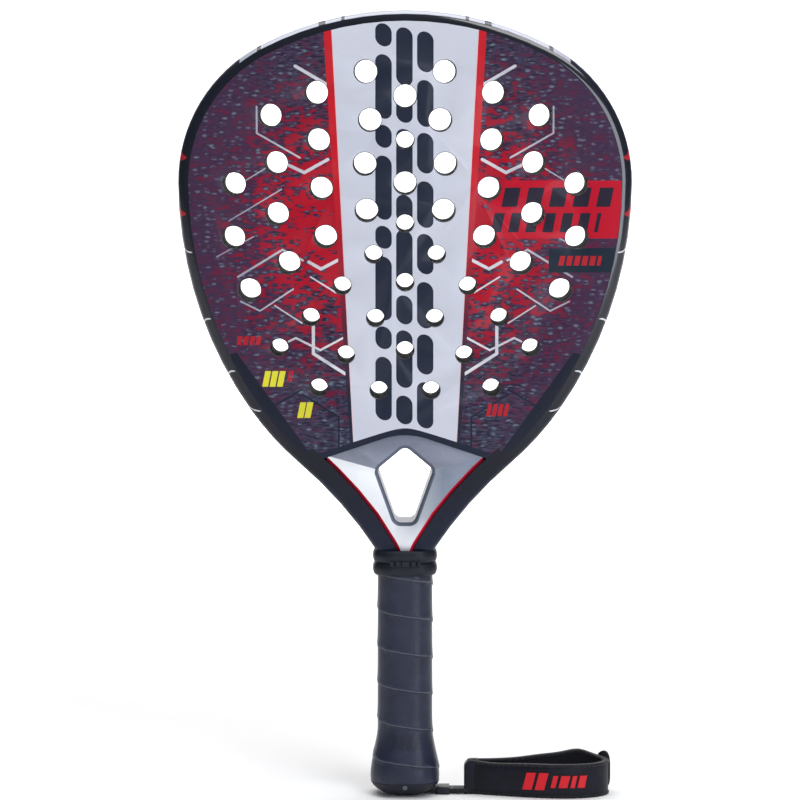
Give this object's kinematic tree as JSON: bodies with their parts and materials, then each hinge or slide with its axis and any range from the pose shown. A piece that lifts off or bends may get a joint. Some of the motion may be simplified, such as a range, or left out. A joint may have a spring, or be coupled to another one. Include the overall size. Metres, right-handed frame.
{
  "type": "padel racket",
  "caption": "Padel racket with a drilled foam-core head, hollow frame, open throat, wound grip and a padded wrist strap hinged in the butt.",
  "frame": {"origin": "on the floor under the middle of the butt, with the racket standing on its butt", "axes": "+Z from the butt to the crown, -Y out of the front face, +X to the right seen from the front"},
  "size_m": [0.26, 0.038, 0.455],
  "materials": {
    "frame_tube": "near-black navy lacquer over carbon fibre",
    "eva_core": "matt closed-cell black foam",
    "front_face": "printed composite skin under clear lacquer",
    "rear_face": "printed composite skin under clear lacquer",
    "throat_yoke": "satin silver paint over a composite moulding",
    "handle_spine": "rigid foam",
    "front_pallet": "moulded polyurethane",
    "rear_pallet": "moulded polyurethane",
    "butt_cap": "moulded nylon",
    "strap_pin": "ground steel",
    "base_grip": "wound polyurethane cushion grip, slightly tacky",
    "grip_collar": "moulded rubber",
    "strap_lead": "woven polyester webbing",
    "lead_sleeve": "moulded rubber",
    "band_end_tab": "folded and sewn binding",
    "wrist_pad": "padded knit over foam",
    "wrist_lining": "brushed loop lining",
    "wrist_closure": "hook-and-loop tape",
    "strap_badge": "moulded rubber patch"
  },
  "bodies": {
    "racket": {"frame_tube": "frame_tube", "eva_core": "eva_core", "front_face": "front_face", "rear_face": "rear_face", "throat_yoke": "throat_yoke", "handle_spine": "handle_spine", "front_pallet": "front_pallet", "rear_pallet": "rear_pallet", "butt_cap": "butt_cap", "strap_pin": "strap_pin", "base_grip": "base_grip", "grip_collar": "grip_collar"},
    "strap": {"strap_lead": "strap_lead", "lead_sleeve": "lead_sleeve"},
    "band": {"band_end_tab": "band_end_tab", "wrist_pad": "wrist_pad", "wrist_lining": "wrist_lining", "wrist_closure": "wrist_closure", "strap_badge": "strap_badge"}
  },
  "joints": [
    {"name": "strap_swing", "type": "hinge", "parent": "racket", "child": "strap", "pos_m": [0, 0, 0.0062], "axis": [0, 1, 0], "range_deg": [0, 135]},
    {"name": "band_flex", "type": "hinge", "parent": "strap", "child": "band", "pos_m": [0.0335, 0, 0.0022], "axis": [0, 1, 0], "range_deg": [-45, 45]}
  ]
}
